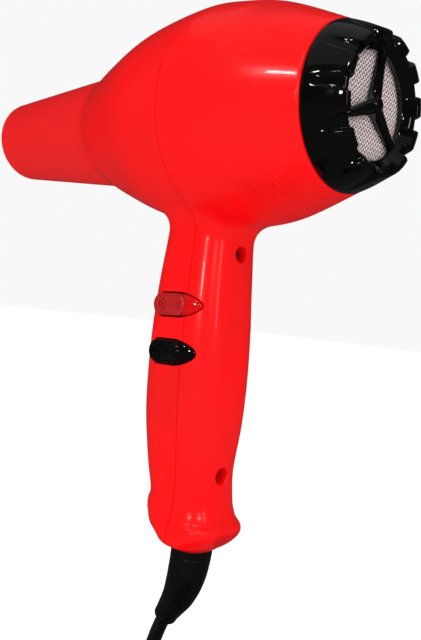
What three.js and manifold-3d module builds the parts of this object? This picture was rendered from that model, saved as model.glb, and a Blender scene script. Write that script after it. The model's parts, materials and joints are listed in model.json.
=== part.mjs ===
// A hand-held hair dryer with a moulded two-shell body, a fan at the rear, a wire heater behind the
// nozzle, two rocker switches on the handle and a mains cord with its spare length in a tied coil.
//
// Units are millimetres and +Z is up. The pieces are drawn in the barrel's own frame: X runs along the
// barrel, air enters at +X and leaves at -X, and the handle hangs down -Z. The whole dryer is then moved
// so that the origin is the middle of the hand grip.
import * as THREE from 'three';
import { mergeVertices } from 'three/addons/utils/BufferGeometryUtils.js';
import Module from 'manifold-3d';

const wasm = await Module();
wasm.setup();

// ---- driving dimensions ------------------------------------------------------------------------------

const GAP = 0.3; // clearance between pieces that touch
const WALL = 2.4; // moulded shell wall
const SIDES = 36; // facets round the barrel
const INNER_SIDES = 24; // facets round the hidden pieces

const BARREL_RADIUS = 46; // widest, where the two shells meet
const TIP_X = -157; // nozzle mouth
const TIP_RADIUS = 21.1;
const MOUTH_WALL = 2.6;
const ROOT_X = -74; // where the nozzle meets the bulb
const ROOT_RADIUS = 26.7;
const REAR_X = 57.5; // rear edge of the red shell
const REAR_RADIUS = 32;

const CAP_END_X = 72.6; // lug faces of the intake cap
const CAP_END_RADIUS = 25.4;
const INTAKE_RADIUS = 19.4; // clear opening of the cap
const LUGS = 12;
const CAP_TURN = THREE.MathUtils.degToRad(3); // how far the first notch stands from the top

const GRIP_X = -5; // middle of the hand grip, from the barrel axis
const GRIP_DROP = 115;
const HANDLE_POWER = 2.4; // squareness of the handle's oval section
const HANDLE_POINTS = 24;

const SWITCH_TILT = THREE.MathUtils.degToRad(3);
const SWITCH_X = -4.9;
const SWITCH_FACE_Y = -20.4;
const SWITCH_HALF = 12.5; // half length of a rocker
const PAD_LENGTH = 19; // its flat thumb pad, from the nozzle end
const HEAT_DROP = 80.8;
const SPEED_DROP = 100.8;
const HEAT_WIDTH = 9.8;
const SPEED_WIDTH = 10.4;

const SCREW_DROPS = [57, 151]; // upper and lower handle screws
const SHAFT_RADIUS = 2;

const HEEL_DROP = 184; // bottom of the handle
const HEEL_FLOOR = 181.5; // top of the wall that closes it
const RELIEF_X = 2.7; // where the cord leaves the handle
const CORD_DIAMETER = 6.5;
const FLOOR_DROP = 300; // the surface that the spare cord lies on
const COIL_Y = -35;
const COIL_RADIUS = 35.5; // at the middle of its turns
const COIL_LAYERS = 4;
const COIL_SPAN = 17.3; // radial spread of the turns' centres
const COIL_LIFT = 1.2; // the tie runs under the coil

// ---- materials ---------------------------------------------------------------------------------------

function finish(color, roughness, metalness = 0) {
  return new THREE.MeshStandardMaterial({ color, roughness, metalness });
}
const RED_GLOSS = finish(0xe80d0d, 0.15);
const BLACK_GLOSS = finish(0x0b0b0c, 0.12);
const BLACK_RUBBER = finish(0x141414, 0.45);
const MESH_STEEL = finish(0xd9c8c4, 0.3, 0.9);
const STEEL = finish(0xb8babd, 0.35, 1);
const COPPER = finish(0xb5652b, 0.35, 1);
const BRASS = finish(0xc9a24a, 0.35, 1);
const MICA = finish(0xb9ac8c, 0.6);
const CARBON = finish(0x2a2a2c, 0.7);
const NYLON = finish(0x26272b, 0.5);
const IVORY = finish(0xd8d2c4, 0.5);
const AMBER = finish(0xd9a020, 0.4);
const BLUE = finish(0x2b4fa8, 0.5);
const BROWN = finish(0x5a3420, 0.5);

// ---- geometry helpers --------------------------------------------------------------------------------

// Merges shared corners, drops slivers that a pole leaves and turns the faces outwards.
function closed(geometry) {
  const bare = new THREE.BufferGeometry();
  bare.setAttribute('position', geometry.getAttribute('position').clone());
  if (geometry.index) bare.setIndex(geometry.index.clone());
  const merged = mergeVertices(bare, 1e-4);
  const corners = merged.getAttribute('position');
  const source = merged.index.array;
  const kept = [];
  let volume = 0;
  const a = new THREE.Vector3();
  const b = new THREE.Vector3();
  const c = new THREE.Vector3();
  for (let i = 0; i < source.length; i += 3) {
    const [p, q, r] = [source[i], source[i + 1], source[i + 2]];
    if (p === q || q === r || r === p) continue;
    kept.push(p, q, r);
    a.fromBufferAttribute(corners, p);
    b.fromBufferAttribute(corners, q);
    c.fromBufferAttribute(corners, r);
    volume += a.dot(b.cross(c));
  }
  merged.setIndex(volume < 0 ? kept.reverse() : kept);
  return merged;
}

function solid(geometry) {
  const mesh = closed(geometry);
  return new wasm.Manifold(new wasm.Mesh({
    numProp: 3,
    vertProperties: new Float32Array(mesh.getAttribute('position').array),
    triVerts: new Uint32Array(mesh.index.array),
  }));
}

function shaped(body) {
  const mesh = body.getMesh();
  const geometry = new THREE.BufferGeometry();
  geometry.setAttribute('position', new THREE.BufferAttribute(new Float32Array(mesh.vertProperties), 3));
  geometry.setIndex(new THREE.BufferAttribute(new Uint32Array(mesh.triVerts), 1));
  return geometry;
}

function joined(...geometries) {
  return shaped(geometries.map(solid).reduce((whole, next) => whole.add(next)));
}

function cut(geometry, ...tools) {
  return shaped(tools.map(solid).reduce((whole, tool) => whole.subtract(tool), solid(geometry)));
}

function common(geometry, tool) {
  return shaped(solid(geometry).intersect(solid(tool)));
}

// A closed outline of [x, radius] corners, turned about the X axis.
function turned(outline, sides = SIDES) {
  const points = [...outline, outline[0]].map(([x, radius]) => new THREE.Vector2(radius, x));
  return new THREE.LatheGeometry(points, sides).rotateZ(-Math.PI / 2);
}

function tube(x0, x1, inner, outer, sides = INNER_SIDES) {
  return turned([[x0, inner], [x1, inner], [x1, outer], [x0, outer]], sides);
}

function box(low, high) {
  const size = high.map((value, axis) => value - low[axis]);
  const middle = high.map((value, axis) => (value + low[axis]) / 2);
  return new THREE.BoxGeometry(...size).translate(...middle);
}

// A cylinder along X.
function rod(x0, x1, radius, y = 0, z = 0, sides = 16) {
  const bar = new THREE.CylinderGeometry(radius, radius, x1 - x0, sides);
  return bar.rotateZ(Math.PI / 2).translate((x0 + x1) / 2, y, z);
}

// Skins a row of rings that have the same number of points, and closes both ends.
function loft(rings) {
  const count = rings[0].length;
  const ends = [rings[0], rings[rings.length - 1]];
  const centres = ends.map((ring) => ring.reduce((sum, p) => sum.add(p), new THREE.Vector3()));
  const points = [...rings.flat(), ...centres.map((sum) => sum.divideScalar(count))];
  const index = [];
  for (let row = 0; row + 1 < rings.length; row += 1) {
    for (let i = 0; i < count; i += 1) {
      const a = row * count + i;
      const b = row * count + ((i + 1) % count);
      index.push(a, b, a + count, b, b + count, a + count);
    }
  }
  const last = (rings.length - 1) * count;
  for (let i = 0; i < count; i += 1) {
    const next = (i + 1) % count;
    index.push(next, i, points.length - 2);
    index.push(last + i, last + next, points.length - 1);
  }
  const geometry = new THREE.BufferGeometry().setFromPoints(points);
  geometry.setIndex(index);
  return geometry;
}

function polygon(radius, sides) {
  const corners = Array.from({ length: sides }, (_, i) => {
    const angle = (2 * Math.PI * i) / sides;
    return new THREE.Vector2(radius * Math.cos(angle), radius * Math.sin(angle));
  });
  return new THREE.Shape(corners);
}

function wire(points, radius, steps, sides = 6) {
  const extrudePath = new THREE.CatmullRomCurve3(points.map((p) => new THREE.Vector3(...p)));
  return new THREE.ExtrudeGeometry(polygon(radius, sides), { extrudePath, steps, bevelEnabled: false });
}

// A stadium outline, lying along the shape's first axis.
function stadium(length, width) {
  const radius = width / 2;
  const half = length / 2 - radius;
  const shape = new THREE.Shape();
  shape.absarc(half, 0, radius, -Math.PI / 2, Math.PI / 2);
  shape.absarc(-half, 0, radius, Math.PI / 2, (3 * Math.PI) / 2);
  shape.closePath();
  return shape;
}

// Extrudes a shape drawn in X and Z along Y, from y0 to y1.
function acrossY(shape, y0, y1, curveSegments = 8) {
  const block = new THREE.ExtrudeGeometry(shape, { depth: y1 - y0, bevelEnabled: false, curveSegments });
  return block.rotateX(Math.PI / 2).translate(0, y1, 0);
}

const dryer = new THREE.Group();
dryer.position.set(-GRIP_X, 0, GRIP_DROP);

function add(name, geometry, material) {
  const mesh = new THREE.Mesh(closed(geometry), material);
  mesh.name = name;
  dryer.add(mesh);
  return mesh;
}

// ---- body shells -------------------------------------------------------------------------------------

// The bulb swells from the nozzle's root to the parting line and domes in to the intake.
const BULB = new THREE.SplineCurve([
  new THREE.Vector2(ROOT_X, ROOT_RADIUS),
  new THREE.Vector2(-56, 33.8),
  new THREE.Vector2(-30, 41.9),
  new THREE.Vector2(0, BARREL_RADIUS),
  new THREE.Vector2(15, 45.1),
  new THREE.Vector2(32, 42),
  new THREE.Vector2(REAR_X, REAR_RADIUS),
]);

function barrelOutline(inset) {
  const bulb = BULB.getPoints(11).map((p) => [p.x, p.y - inset]);
  const mouth = inset > 0 ? TIP_RADIUS - MOUTH_WALL : TIP_RADIUS;
  const reach = inset > 0 ? 1 : 0; // the bore runs out past both ends
  const rear = bulb[bulb.length - 1][1];
  return [[TIP_X - reach, 0], [TIP_X - reach, mouth], ...bulb, [REAR_X + reach, rear], [REAR_X + reach, 0]];
}

// Oval sections of the handle: how far down, middle, half depth along X and half width along Y.
const HANDLE = [
  { down: 30, middle: -6, deep: 20.6, wide: 17.2 },
  { down: 46, middle: -6.3, deep: 18.1, wide: 16.8 },
  { down: 71, middle: -6.6, deep: 19.8, wide: 18.4 },
  { down: 91, middle: -6.2, deep: 21.3, wide: 19.3 },
  { down: 111, middle: -5.6, deep: 22, wide: 19.3 },
  { down: 130, middle: -5, deep: 21.6, wide: 18.4 },
  { down: 150, middle: -3.9, deep: 19.2, wide: 16.5 },
  { down: 162, middle: -1.4, deep: 18.1, wide: 16 },
  { down: 166.5, middle: -1.2, deep: 19.2, wide: 16.3 },
  { down: 170, middle: -0.2, deep: 20.1, wide: 16.8 },
  { down: 172.5, middle: 1.8, deep: 20.9, wide: 17.4 },
  { down: 175.5, middle: 2.6, deep: 19.6, wide: 18 },
  { down: 178.5, middle: 3.8, deep: 15.8, wide: 17.8 },
  { down: 181.5, middle: 4, deep: 12.3, wide: 16.4 },
  { down: HEEL_DROP, middle: 3.2, deep: 9.8, wide: 11 },
];

function handleRing({ down, middle, deep, wide }, inset) {
  return Array.from({ length: HANDLE_POINTS }, (_, i) => {
    const angle = (2 * Math.PI * i) / HANDLE_POINTS;
    const round = (value) => Math.sign(value) * Math.abs(value) ** (2 / HANDLE_POWER);
    const x = middle + (deep - inset) * round(Math.cos(angle));
    const y = (wide - inset) * round(Math.sin(angle));
    return new THREE.Vector3(x, y, -down);
  });
}

function handleSolid(inset) {
  const stations = inset > 0 ? HANDLE.filter(({ down }) => down <= HEEL_FLOOR) : HANDLE;
  return loft(stations.map((station) => handleRing(station, inset)));
}

// Everything behind the parting line, which follows the handle's slight lean below the barrel.
function behindParting(shift) {
  const line = [[0, 60], [0, -50], [3.4, -155], [4.2, -200], [120, -200], [120, 60]];
  return acrossY(new THREE.Shape(line.map(([x, z]) => new THREE.Vector2(x + shift, -z))), -60, 60);
}

function screwSeatX(down) {
  return down < 100 ? 5.2 : 7.4;
}

function screwBosses() {
  return SCREW_DROPS.map((down) => rod(-26, 30, 4.8, 0, -down, 16));
}

function screwHoles() {
  return SCREW_DROPS.flatMap((down) => [
    rod(screwSeatX(down), 30, 3.7, 0, -down, 16),
    rod(-15, 12, 1.7, 0, -down, 12),
  ]);
}

// A rocker's outline: round at the nozzle end and pointed at the other.
function rockerOutline(width, grow) {
  const half = SWITCH_HALF + grow;
  const side = width / 2 + grow;
  const shoulder = 3;
  const outline = new THREE.Shape();
  outline.absarc(side - half, 0, side, Math.PI / 2, (3 * Math.PI) / 2);
  outline.lineTo(shoulder, -side);
  outline.quadraticCurveTo(half - 2, -side, half, 0);
  outline.quadraticCurveTo(half - 2, side, shoulder, side);
  outline.closePath();
  return outline;
}

function switchWindow(down, width) {
  const hole = acrossY(rockerOutline(width, 0.5), -30, -8, 6);
  return hole.rotateY(-SWITCH_TILT).translate(SWITCH_X, 0, -down);
}

const bodySkin = solid(turned(barrelOutline(0))).add(solid(handleSolid(0)));
const bodyHollow = solid(turned(barrelOutline(WALL))).add(solid(handleSolid(WALL)));
const bosses = screwBosses().map(solid).reduce((whole, boss) => whole.add(boss)).intersect(bodySkin);
const reliefHole = solid(new THREE.CylinderGeometry(6.9, 6.9, 12, 16)
  .rotateX(Math.PI / 2).translate(RELIEF_X, 0, -HEEL_DROP));
const windows = [switchWindow(HEAT_DROP, HEAT_WIDTH), switchWindow(SPEED_DROP, SPEED_WIDTH)];
const bodyCuts = [...screwHoles(), ...windows].map(solid);
const shellBody = [...bodyCuts, reliefHole].reduce(
  (whole, tool) => whole.subtract(tool),
  bodySkin.subtract(bodyHollow).add(bosses),
);
add('front_shell', shaped(shellBody.subtract(solid(behindParting(-GAP / 2)))), RED_GLOSS);
add('rear_shell', shaped(shellBody.intersect(solid(behindParting(GAP / 2)))), RED_GLOSS);

SCREW_DROPS.forEach((down, i) => {
  const seat = screwSeatX(down) + GAP;
  const screw = joined(rod(seat, seat + 2, 2.8, 0, -down), rod(-12, seat + 0.5, 1.4, 0, -down, 12));
  const slot = box([seat + 1, -0.4, -down - 2], [seat + 3, 0.4, -down + 2]);
  add(i === 0 ? 'upper_handle_screw' : 'lower_handle_screw', cut(screw, slot), STEEL);
});

// ---- intake cap and filter -----------------------------------------------------------------------------

const CAP_BASE_X = REAR_X + GAP;
const SKIRT_RADIUS = REAR_RADIUS - WALL - 0.5;

function capRing() {
  return turned([
    [CAP_BASE_X, 31.4], [66, 28.4], [CAP_END_X, CAP_END_RADIUS], [CAP_END_X, 22.4],
    [68.8, INTAKE_RADIUS], [65.9, 20], [65.9, 24.6], [60, 25.4], [52, 27], [52, SKIRT_RADIUS],
    [CAP_BASE_X, SKIRT_RADIUS],
  ]);
}

// A three-armed star guard whose arms widen towards the raised hub.
function starGuard() {
  const arms = 3;
  const tip = 21;
  const star = new THREE.Shape();
  for (let i = 0; i < arms; i += 1) {
    const along = THREE.MathUtils.degToRad(83 + 120 * i);
    const corner = (radius, side) => [
      radius * Math.cos(along) - side * Math.sin(along),
      radius * Math.sin(along) + side * Math.cos(along),
    ];
    const corners = [corner(3.4, -2.7), corner(tip, -1.6), corner(tip, 1.6), corner(3.4, 2.7)];
    corners.forEach(([y, z], j) => (i + j === 0 ? star.moveTo(y, z) : star.lineTo(y, z)));
  }
  star.closePath();
  const plate = new THREE.ExtrudeGeometry(star, { depth: 3, bevelEnabled: false });
  plate.rotateX(Math.PI / 2).rotateZ(Math.PI / 2).translate(66.2, 0, 0);
  const hub = turned([[66.2, 0], [66.2, 3.3], [69.6, 3.2], [70.8, 1.8], [71.2, 0]], 16);
  return joined(plate, hub);
}

function capCuts() {
  const tools = [];
  for (let i = 0; i < LUGS; i += 1) {
    const angle = (2 * Math.PI * i) / LUGS - CAP_TURN;
    const notch = box([70.8, -2.8, 22], [CAP_END_X + 1, 2.8, 32]);
    const slope = Math.atan2(6.2, CAP_END_X - CAP_BASE_X);
    const flute = new THREE.CylinderGeometry(4.2, 4.2, 26, 8).rotateZ(Math.PI / 2);
    flute.rotateY(slope + 0.12).translate(68, 0, 30.2);
    tools.push(notch.rotateX(angle), flute.rotateX(angle));
  }
  return tools;
}

add('rear_cap', joined(cut(capRing(), ...capCuts()), starGuard()), BLACK_GLOSS);
add('filter_mesh', turned([[64.8, 0], [64.8, 24.1], [65.6, 24.1], [65.6, 0]], INNER_SIDES), MESH_STEEL);
add('filter_ring', tube(62.7, 64.5, 21.6, 24.1), NYLON);

// ---- fan, motor and their housing ----------------------------------------------------------------------

function fanHousing() {
  const duct = tube(8, 50.5, 28.6, 30.2);
  const flange = tube(46, 48, 29.4, 32.2);
  const cup = tube(4, 33, 18.6, 20.2);
  const vanes = Array.from({ length: 6 }, (_, i) => (
    box([14, -0.8, 19.4], [32, 0.8, 29.4]).rotateX((Math.PI * i) / 3)));
  return joined(duct, flange, cup, ...vanes);
}

function fanImpeller() {
  const blades = Array.from({ length: 7 }, (_, i) => (
    new THREE.BoxGeometry(12, 1.4, 19.6)
      .rotateZ(THREE.MathUtils.degToRad(50)).translate(46.6, 0, 17.8).rotateX((2 * Math.PI * i) / 7)));
  const hub = turned([[42, 2.3], [42, 9], [49, 9], [51.6, 7], [51.6, 2.3]], 24);
  return joined(hub, ...blades);
}

function statorStack() {
  const yoke = tube(8, 24, 15.2, 18.2);
  const shoeRing = tube(8, 24, 10.9, 11.7);
  const shoes = [1, -1].map((side) => (
    common(shoeRing, side > 0 ? box([7, -7, 0], [25, 7, 12]) : box([7, -7, -12], [25, 7, 0]))));
  const necks = [1, -1].map((side) => (
    box([8, -4.2, side > 0 ? 11.3 : -15.8], [24, 4.2, side > 0 ? 15.8 : -11.3])));
  return joined(yoke, ...shoes, ...necks);
}

function fieldCoil(side) {
  const ring = cut(box([4.4, -7, 11.9], [27.6, 7, 13.2]), box([7.6, -4.6, 11], [24.4, 4.6, 14]));
  return side > 0 ? ring : ring.rotateX(Math.PI);
}

function armatureCore() {
  const slots = Array.from({ length: 12 }, (_, i) => (
    box([7, -0.7, 7], [25, 0.7, 12]).rotateX((Math.PI * i) / 6)));
  return cut(tube(8, 24, SHAFT_RADIUS + GAP, 10.4), ...slots);
}

// A bearing plate with two legs that reach to the stator.
function bearingBracket(x0, x1, legFrom, legTo) {
  const plate = tube(x0, x1, 5.3, 17.8);
  const legs = [box([legFrom, -3, 15.4], [legTo, 3, 17.6]), box([legFrom, -3, -17.6], [legTo, 3, -15.4])];
  const vents = [0, 1].map((i) => rod(x0 - 1, x1 + 1, 3.2, 11.5 - 23 * i, 0));
  return cut(joined(plate, ...legs), ...vents);
}

function brushHolder(side) {
  const sleeve = box([-4.2, 7, -3.4], [2.2, 15, 3.4]);
  const bore = box([-3.3, 6, -2.5], [1.3, 16, 2.5]);
  const foot = box([-6.7, 9, -3.4], [-4, 14, 3.4]);
  const holder = cut(joined(sleeve, foot), bore);
  return side > 0 ? holder : holder.rotateX(Math.PI);
}

function brush(side) {
  const block = box([-3, 5.4, -2.2], [1, 13, 2.2]);
  return side > 0 ? block : block.rotateX(Math.PI);
}

function commutator() {
  const slots = Array.from({ length: 12 }, (_, i) => (
    box([-6, -0.25, 4.4], [2.6, 0.25, 6]).rotateX((Math.PI * i) / 6)));
  return cut(tube(-5, 3.4, SHAFT_RADIUS + GAP, 5), ...slots);
}

add('fan_housing', fanHousing(), IVORY);
add('fan_impeller', fanImpeller(), NYLON);
add('fan_nut', cut(rod(52, 54.8, 4, 0, 0, 6), rod(51, 56, SHAFT_RADIUS + GAP)), BRASS);
add('motor_shaft', rod(-11, 56, SHAFT_RADIUS), STEEL);
add('armature_core', armatureCore(), STEEL);
add('armature_winding_front', tube(4, 7.6, 3, 9.2), COPPER);
add('armature_winding_rear', tube(24.4, 28, 3, 9.2), COPPER);
add('commutator', commutator(), COPPER);
add('stator_stack', statorStack(), STEEL);
add('field_coil_upper', fieldCoil(1), COPPER);
add('field_coil_lower', fieldCoil(-1), COPPER);
add('front_motor_bracket', bearingBracket(-9, -7, -8, 7.6), STEEL);
add('rear_motor_bracket', bearingBracket(29, 31, 24.4, 30), STEEL);
add('front_bearing', tube(-9.4, -6.6, SHAFT_RADIUS + GAP, 5), BRASS);
add('rear_bearing', tube(28.6, 31.4, SHAFT_RADIUS + GAP, 5), BRASS);
add('left_brush_holder', brushHolder(-1), BRASS);
add('right_brush_holder', brushHolder(1), BRASS);
add('left_brush', brush(-1), CARBON);
add('right_brush', brush(1), CARBON);

// ---- heater --------------------------------------------------------------------------------------------

const HEATER_FRONT = -64;
const HEATER_REAR = -16;
const HEATER_MIDDLE = (HEATER_FRONT + HEATER_REAR) / 2;
const BOARD_HALF = 19.5;

// Two mica boards slide into each other's slots to make a cross.
function micaBoard(slotFrom, slotTo) {
  const plate = box([HEATER_FRONT, -0.5, -BOARD_HALF], [HEATER_REAR, 0.5, BOARD_HALF]);
  return cut(plate, box([slotFrom, -1, -0.8], [slotTo, 1, 0.8]));
}

function heatingWire(from, turns) {
  const pitch = 5;
  const perTurn = 12;
  const points = Array.from({ length: turns * perTurn + 1 }, (_, i) => {
    const angle = (2 * Math.PI * i) / perTurn;
    const radius = BOARD_HALF + 1.8;
    return [from + (pitch * i) / perTurn, radius * Math.cos(angle), radius * Math.sin(angle)];
  });
  return wire(points, 0.6, turns * perTurn, 5);
}

function outletGrille() {
  const rings = [8, 15.8, 23.8].map((radius) => tube(-76, -74, radius - 1.3, radius));
  const bars = [0, 1, 2].map((i) => (
    box([-75.9, -0.6, -23], [-74.1, 0.6, 23]).rotateX((Math.PI * i) / 3)));
  return joined(...rings, ...bars);
}

add('mica_board_upright', micaBoard(HEATER_FRONT - 1, HEATER_MIDDLE + GAP), MICA);
add('mica_board_level', micaBoard(HEATER_MIDDLE - GAP, HEATER_REAR + 1).rotateX(Math.PI / 2), MICA);
add('heating_wire_front', heatingWire(-62, 4), STEEL);
add('heating_wire_rear', heatingWire(-38, 4), STEEL);
add('heater_sleeve', tube(-68, -13, 23.4, 24.2), MICA);
add('thermostat', box([-31, 0.9, 4], [-22, 4.4, 11]), BRASS);
add('thermal_fuse', rod(-52, -42, 1.7, 2.8, -7, 12), STEEL);
add('outlet_grille', outletGrille(), BLACK_RUBBER);

// ---- switches and wiring in the handle -------------------------------------------------------------------

// A rocker cap: a flat thumb pad, round at the nozzle end, and a nose that runs down to the
// handle's curved side.
function rocker(down, width) {
  const half = SWITCH_HALF;
  const padEnd = PAD_LENGTH - half;
  const seat = -12.4;
  const brow = -15.6;
  const plan = new THREE.Shape();
  plan.moveTo(-half, seat);
  plan.lineTo(-half, SWITCH_FACE_Y);
  plan.lineTo(padEnd, SWITCH_FACE_Y);
  plan.quadraticCurveTo(padEnd + 3, SWITCH_FACE_Y, half, brow);
  plan.lineTo(half, seat);
  plan.closePath();
  const slab = new THREE.ExtrudeGeometry(plan, { depth: width, bevelEnabled: false, curveSegments: 4 });
  const outline = acrossY(rockerOutline(width, 0), -30, 0, 6);
  const cap = common(slab.translate(0, 0, -width / 2), outline);
  const rim = 1.2;
  const recess = stadium(PAD_LENGTH - 2 * rim, width - 2 * rim);
  const pocket = acrossY(recess, SWITCH_FACE_Y - 5, SWITCH_FACE_Y + 0.6, 5);
  pocket.translate(PAD_LENGTH / 2 - half, 0, 0);
  const mark = new THREE.CylinderGeometry(1.7, 1.7, 1, 12).translate(5.2 - half, SWITCH_FACE_Y + 0.5, 0);
  return joined(cut(cap, pocket), mark).rotateY(-SWITCH_TILT).translate(SWITCH_X, 0, -down);
}

function switchBody(down) {
  const block = box([-9, -11, -5.4], [9, -2.4, 5.4]);
  return block.rotateY(-SWITCH_TILT).translate(SWITCH_X, 0, -down);
}

add('heat_rocker', rocker(HEAT_DROP, HEAT_WIDTH), RED_GLOSS);
add('speed_rocker', rocker(SPEED_DROP, SPEED_WIDTH), BLACK_GLOSS);
add('heat_switch_body', switchBody(HEAT_DROP), NYLON);
add('speed_switch_body', switchBody(SPEED_DROP), NYLON);
add('switch_bracket', box([-18, -2, -109], [3, -0.4, -73]), IVORY);
add('suppression_capacitor', box([-15, -4.5, -138], [1, 4.5, -122]), AMBER);
add('terminal_block', box([-4, -6, -172], [9, 6, -158]), IVORY);
add('live_lead', wire([[1, -4, -157.5], [1, -4.4, -155.6], [0, -8, -150], [-4, -8.4, -130], [-7, -7, -114],
  [-7.5, -6.4, -107.4]], 1.3, 12), BROWN);
add('neutral_lead', wire([[1, 4, -157.5], [1, 4.4, -155.6], [0, 8.2, -150], [-5, 8.6, -130], [-9, 8, -100],
  [-11, 8, -60], [-11, 8, -44], [-11.4, 7, -34]], 1.3, 16), BLUE);
add('heater_lead', wire([[-8, -6, -74.8], [-9, -7, -62], [-13, -6, -46], [-15.4, -3, -32], [-14.8, -1, -26]],
  1.3, 12), BROWN);

// ---- cord, strain relief, coil, tie and plug --------------------------------------------------------------

// Circular sections in the X-Z plane: place, radius and the axis's lean towards the nozzle, in degrees.
function bentTaper(stations, sides = 20) {
  return loft(stations.map(({ x, down, radius, lean }) => {
    const tilt = THREE.MathUtils.degToRad(lean);
    return Array.from({ length: sides }, (_, i) => {
      const angle = (2 * Math.PI * i) / sides;
      const across = radius * Math.cos(angle);
      return new THREE.Vector3(
        x + across * Math.cos(tilt),
        radius * Math.sin(angle),
        -down - across * Math.sin(tilt),
      );
    });
  }));
}

const strainRelief = bentTaper([
  { x: RELIEF_X, down: 176, radius: 8, lean: 0 },
  { x: RELIEF_X, down: HEEL_FLOOR - GAP, radius: 8, lean: 0 },
  { x: RELIEF_X, down: HEEL_FLOOR - GAP, radius: 6.5, lean: 0 },
  { x: RELIEF_X, down: HEEL_DROP + GAP, radius: 6.5, lean: 0 },
  { x: RELIEF_X, down: HEEL_DROP + GAP, radius: 9, lean: 0 },
  { x: 2.5, down: 189.5, radius: 9, lean: 3 },
  { x: 1.6, down: 196.5, radius: 8.7, lean: 10 },
  { x: 0, down: 203, radius: 8.1, lean: 18 },
  { x: -2.3, down: 209, radius: 7.2, lean: 26 },
  { x: -5.2, down: 214, radius: 6.2, lean: 30 },
  { x: -7.6, down: 218, radius: 5.5, lean: 28 },
  { x: -9.2, down: 221, radius: 5.1, lean: 26 },
]);
add('strain_relief', strainRelief, BLACK_RUBBER);

const CORD_LEVEL = -FLOOR_DROP + CORD_DIAMETER / 2;
const COIL_OUTER = COIL_RADIUS + COIL_SPAN / 2;
const HANG_X = -17; // the cord hangs here before it bends on to the surface
const COIL_X = HANG_X + COIL_OUTER;
const COIL_EXIT_X = COIL_X + COIL_OUTER;

// The cord leaves the strain relief along its last lean, hangs, bends on to the surface and runs
// into the coil's lowest turn.
const cordDrop = [
  [-9.4, 0, -221.4], [-11.4, 0, -225.8], [-14, 0, -233], [-15.9, 0, -239.8], [HANG_X, 0, -247],
  [HANG_X, 0, -256], [HANG_X, -1, -266], [HANG_X, -4.8, -276.5], [HANG_X, -11.6, -286],
  [HANG_X, -21, -293], [HANG_X, -31.5, CORD_LEVEL + 0.4],
];
// From the coil's top outer turn it sinks to the surface and runs into the plug.
const COIL_TOP = CORD_LEVEL + COIL_LIFT + (COIL_LAYERS - 1) * CORD_DIAMETER;
const PLUG_Y = 55;
const PLUG_HALF = 13; // half thickness
const PLUG_LENGTH = 38;
const cordTail = [
  [3.5, COIL_TOP], [11, COIL_TOP - 1], [20, COIL_TOP - 4], [31, COIL_TOP - 9.4],
  [43, COIL_TOP - 14.2], [56, COIL_TOP - 15.6], [69, COIL_TOP - 13.4],
  [PLUG_Y - COIL_Y - 12, -FLOOR_DROP + PLUG_HALF - 0.8], [PLUG_Y - COIL_Y - GAP, -FLOOR_DROP + PLUG_HALF],
].map(([past, z]) => [COIL_EXIT_X, COIL_Y + past, z]);
add('cord_drop', wire(cordDrop, CORD_DIAMETER / 2, 14, 10), BLACK_RUBBER);
add('cord_tail', wire(cordTail, CORD_DIAMETER / 2, 14, 10), BLACK_RUBBER);

const coilInner = COIL_RADIUS - COIL_SPAN / 2 - CORD_DIAMETER / 2;
const coilOuterEdge = COIL_OUTER + CORD_DIAMETER / 2;
const coilHeight = COIL_LAYERS * CORD_DIAMETER;
const COIL_FLOOR = -FLOOR_DROP + COIL_LIFT;
const coilRing = new THREE.LatheGeometry([
  new THREE.Vector2(coilInner, 0),
  new THREE.Vector2(coilOuterEdge, 0),
  new THREE.Vector2(coilOuterEdge, coilHeight),
  new THREE.Vector2(coilInner, coilHeight),
  new THREE.Vector2(coilInner, 0),
], 48).rotateX(Math.PI / 2).translate(COIL_X, COIL_Y, COIL_FLOOR);

// The drop meets the coil's side, so the coil gives way to the cord's last stretch at both ends.
const CORD_ROOM = CORD_DIAMETER / 2 + GAP;
const entryRoom = box(
  [HANG_X - 5, COIL_Y + 2, -FLOOR_DROP - 1],
  [HANG_X + CORD_ROOM, 0, CORD_LEVEL + 17],
);
const exitRoom = box(
  [COIL_EXIT_X - CORD_ROOM, COIL_Y + 2, COIL_TOP - 12],
  [COIL_EXIT_X + 5, 0, COIL_TOP + 5],
);
add('cord_coil', cut(coilRing, entryRoom, exitRoom), BLACK_RUBBER);

const TIE_HALF = 3.5;
const tieBand = cut(
  box([coilInner - 1.5, -TIE_HALF, 0], [coilOuterEdge + 1.4, TIE_HALF, coilHeight + 2.4]),
  box([coilInner - 0.6, -TIE_HALF - 1, 0.9], [coilOuterEdge + 0.5, TIE_HALF + 1, coilHeight + 1.5]),
);
add('coil_tie', tieBand.rotateZ(-Math.PI / 2).translate(COIL_X, COIL_Y, -FLOOR_DROP), NYLON);

// A flat two-pin mains plug that lies on the surface beside the coil, pins pointing away from the cord.
function plugBody() {
  const ring = (along, half, high) => Array.from({ length: 20 }, (_, i) => {
    const angle = (2 * Math.PI * i) / 20;
    const round = (value) => Math.sign(value) * Math.abs(value) ** 0.7;
    return new THREE.Vector3(
      COIL_EXIT_X + half * round(Math.cos(angle)),
      PLUG_Y + along,
      -FLOOR_DROP + PLUG_HALF + high * round(Math.sin(angle)),
    );
  });
  return loft([
    ring(0, 4.4, 4.4), ring(10, 5.6, 5.4), ring(14, 10, 8), ring(20, 15, 11), ring(27, 17.6, PLUG_HALF),
    ring(PLUG_LENGTH - 1, 17.6, PLUG_HALF), ring(PLUG_LENGTH, 16.8, 12.2),
  ]);
}

function plugPin(side) {
  const length = 19 - GAP;
  const middle = PLUG_Y + PLUG_LENGTH + GAP + length / 2;
  const pin = new THREE.CylinderGeometry(2.4, 2.4, length, 12);
  return pin.translate(COIL_EXIT_X + side * 9.5, middle, -FLOOR_DROP + PLUG_HALF);
}

add('plug_body', plugBody(), BLACK_RUBBER);
add('left_plug_pin', plugPin(-1), BRASS);
add('right_plug_pin', plugPin(1), BRASS);

export default dryer;
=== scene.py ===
import json
import math

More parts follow.
